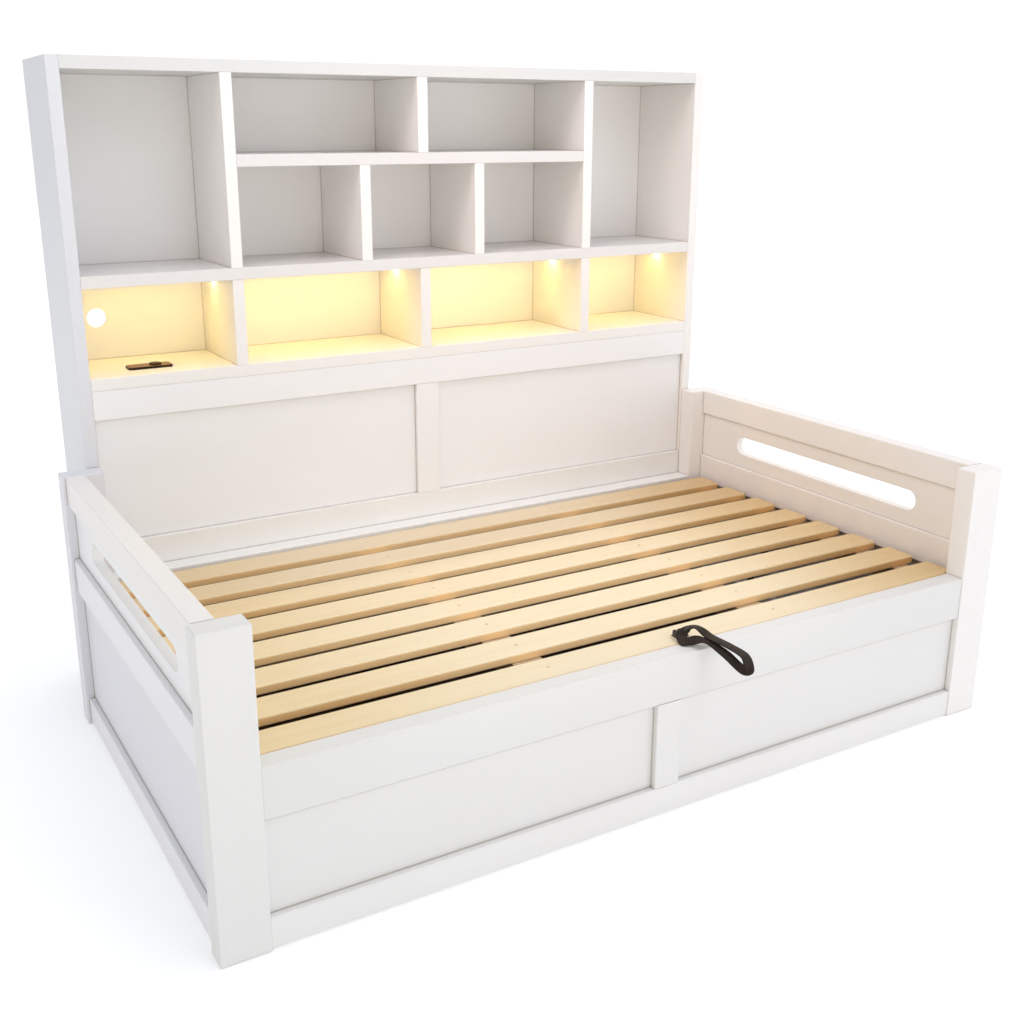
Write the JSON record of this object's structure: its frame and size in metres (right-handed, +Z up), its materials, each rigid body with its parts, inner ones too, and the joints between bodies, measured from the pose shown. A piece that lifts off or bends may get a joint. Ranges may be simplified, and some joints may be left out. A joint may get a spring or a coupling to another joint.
{
  "type": "single bed",
  "caption": "White single daybed: panelled frame, hinged slatted platform with gas struts and pull strap over a storage box, lit bookcase along the back.",
  "frame": {"origin": "on the floor, in the middle of the whole footprint, pull strap included", "axes": "+X along the bed to the right, +Y from the front to the bookcase, +Z up"},
  "size_m": [2.04, 1.561, 1.628],
  "materials": {
    "white_paint": "satin white paint over wood",
    "pine": "planed pale pine, clear matt lacquer",
    "bare_timber": "planed bare softwood",
    "plywood": "dark-stained plywood",
    "zinc_steel": "zinc-plated steel",
    "strut_steel": "polished hard-chromed rod",
    "black_paint": "satin black paint on steel",
    "webbing": "woven black webbing",
    "dark_plastic": "dark bronze plastic",
    "switch_plastic": "dark moulded plastic, dished",
    "light_diffuser": "frosted diffuser, lit warm yellow"
  },
  "bodies": {
    "bed_frame": {"left_front_post": "white_paint", "right_front_post": "white_paint", "left_back_post": "white_paint", "right_back_post": "white_paint", "left_arm_top_rail": "white_paint", "right_arm_top_rail": "white_paint", "left_arm_slot_panel": "white_paint", "right_arm_slot_panel": "white_paint", "left_arm_middle_rail": "white_paint", "right_arm_middle_rail": "white_paint", "left_arm_lower_panel": "white_paint", "right_arm_lower_panel": "white_paint", "left_arm_bottom_rail": "white_paint", "right_arm_bottom_rail": "white_paint", "front_top_rail": "white_paint", "front_bottom_rail": "white_paint", "front_centre_stile": "white_paint", "front_panels": "white_paint", "base_back_rail": "white_paint", "base_back_bottom_rail": "white_paint", "base_back_panel": "white_paint", "bookcase_left_side": "white_paint", "bookcase_right_side": "white_paint", "bookcase_top": "white_paint", "left_tall_divider": "white_paint", "right_tall_divider": "white_paint", "upper_divider": "white_paint", "middle_shelf": "white_paint", "middle_dividers": "white_paint", "lit_shelf": "white_paint", "lit_dividers": "white_paint", "bottom_shelf": "white_paint", "bookcase_back_panel": "white_paint", "headboard_top_rail": "white_paint", "headboard_bottom_rail": "white_paint", "headboard_centre_stile": "white_paint", "headboard_panels": "white_paint", "platform_cleats": "bare_timber", "floor_battens": "bare_timber", "rail_dowels": "bare_timber", "storage_floor": "plywood", "hinge_fixed_leaves": "zinc_steel", "hinge_pins": "zinc_steel", "headboard_bolts": "zinc_steel", "strut_base_brackets": "zinc_steel", "charging_panel": "dark_plastic", "light_strips": "light_diffuser"},
    "slat_platform": {"slats": "pine", "cross_bearers": "bare_timber", "platform_back_rail": "bare_timber", "slat_screws": "zinc_steel", "hinge_moving_leaves": "zinc_steel", "strut_platform_brackets": "zinc_steel", "strap_anchor": "black_paint"},
    "pull_loop": {"pull_strap": "webbing"},
    "left_strut_tube": {"left_strut_cylinder": "black_paint"},
    "right_strut_tube": {"right_strut_cylinder": "black_paint"},
    "left_strut_piston": {"left_strut_rod": "strut_steel"},
    "right_strut_piston": {"right_strut_rod": "strut_steel"},
    "switch_button": {"light_switch": "switch_plastic"}
  },
  "joints": [
    {"name": "platform_lift", "type": "hinge", "parent": "bed_frame", "child": "slat_platform", "pos_m": [0, 0.437, 0.358], "axis": [-1, 0, 0], "range_deg": [0, 45]},
    {"name": "left_strut_tilt", "type": "hinge", "parent": "bed_frame", "child": "left_strut_tube", "pos_m": [-0.946, 0.18422, 0.048], "axis": [-1, 0, 0], "range_deg": [0, 22.5]},
    {"name": "left_rod_tilt", "type": "hinge", "parent": "slat_platform", "child": "left_strut_piston", "pos_m": [-0.946, 0.03732, 0.342], "axis": [-1, 0, 0], "range_deg": [-22.5, 0]},
    {"name": "right_strut_tilt", "type": "hinge", "parent": "bed_frame", "child": "right_strut_tube", "pos_m": [0.946, 0.18422, 0.048], "axis": [-1, 0, 0], "range_deg": [0, 22.5]},
    {"name": "right_rod_tilt", "type": "hinge", "parent": "slat_platform", "child": "right_strut_piston", "pos_m": [0.946, 0.03732, 0.342], "axis": [-1, 0, 0], "range_deg": [-22.5, 0]},
    {"name": "strap_swing", "type": "hinge", "parent": "slat_platform", "child": "pull_loop", "pos_m": [0.085, -0.5565, 0.393], "axis": [-1, 0, 0], "range_deg": [0, 100]},
    {"name": "switch_press", "type": "slide", "parent": "bed_frame", "child": "switch_button", "axis": [0, 0, -1], "range_m": [0, 0.0025], "stiffness_N_per_m": 500}
  ],
  "couplings": [
    {"joint": "left_strut_tilt", "follows": "platform_lift", "ratio": 0.5},
    {"joint": "left_rod_tilt", "follows": "platform_lift", "ratio": -0.5},
    {"joint": "right_strut_tilt", "follows": "platform_lift", "ratio": 0.5},
    {"joint": "right_rod_tilt", "follows": "platform_lift", "ratio": -0.5}
  ]
}
